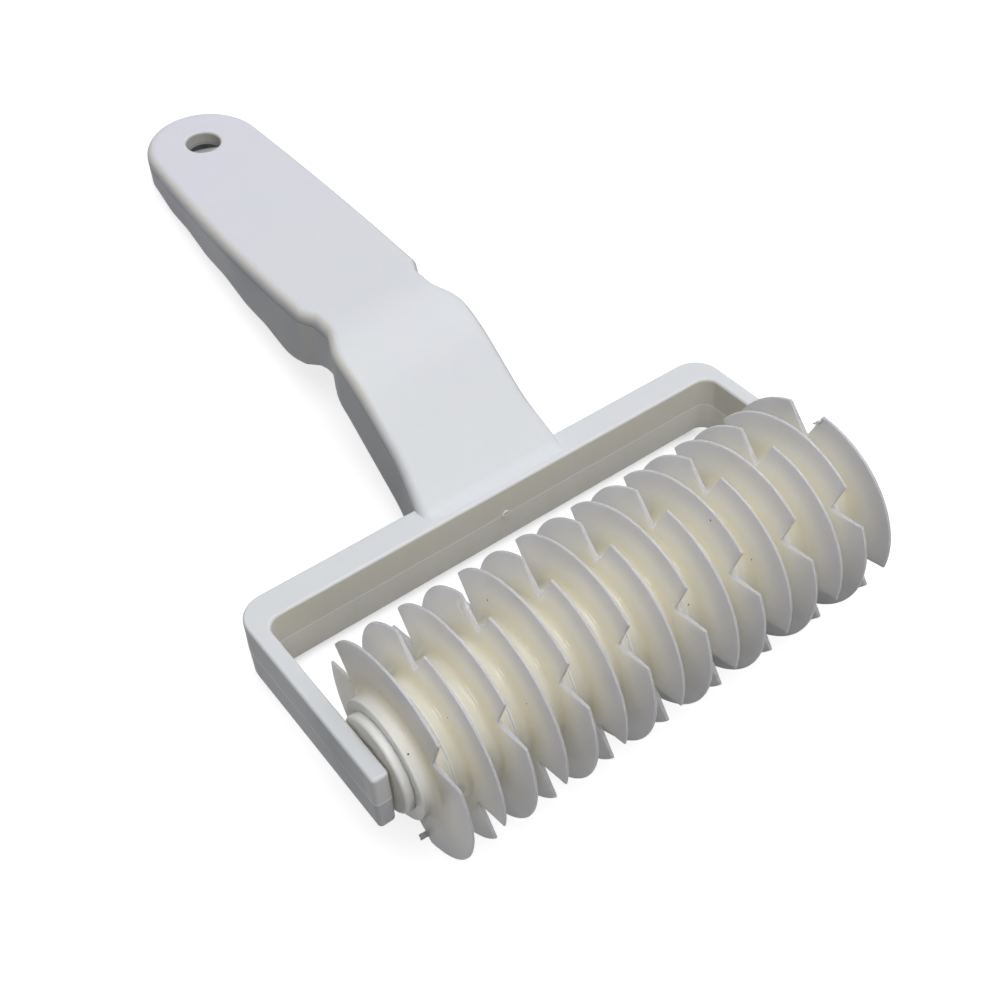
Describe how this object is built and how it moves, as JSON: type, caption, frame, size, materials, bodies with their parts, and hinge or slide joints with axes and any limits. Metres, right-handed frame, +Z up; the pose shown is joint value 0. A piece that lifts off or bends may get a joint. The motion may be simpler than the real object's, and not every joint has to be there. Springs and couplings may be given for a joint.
{
  "type": "lattice roller cutter",
  "caption": "Plastic hand roller whose notched blade wheels cut rolled dough into a lattice, on a yoke with a grooved handle.",
  "frame": {"origin": "on the table, under the middle of the object's box as it lies on its wheels and its handle's end", "axes": "+X along the roller's axle, +Y towards the end of the handle, +Z up from the table"},
  "size_m": [0.118, 0.1893, 0.0434],
  "materials": {
    "frame_plastic": "satin moulded",
    "wheel_plastic": "satin moulded, slightly translucent"
  },
  "bodies": {
    "frame": {"yoke_handle": "frame_plastic"},
    "roller": {"core_shaft": "wheel_plastic", "blade_wheel_01": "wheel_plastic", "blade_wheel_02": "wheel_plastic", "blade_wheel_03": "wheel_plastic", "blade_wheel_04": "wheel_plastic", "blade_wheel_05": "wheel_plastic", "blade_wheel_06": "wheel_plastic", "blade_wheel_07": "wheel_plastic", "blade_wheel_08": "wheel_plastic", "blade_wheel_09": "wheel_plastic", "blade_wheel_10": "wheel_plastic", "blade_wheel_11": "wheel_plastic", "blade_wheel_12": "wheel_plastic", "blade_wheel_13": "wheel_plastic", "blade_wheel_14": "wheel_plastic", "blade_wheel_15": "wheel_plastic", "blade_wheel_16": "wheel_plastic", "end_collar_left": "wheel_plastic", "end_collar_right": "wheel_plastic"}
  },
  "joints": [
    {"name": "roller_spin", "type": "hinge", "parent": "frame", "child": "roller", "pos_m": [0, -0.07304, 0.0217], "axis": [1, 0, 0], "continuous": true}
  ]
}
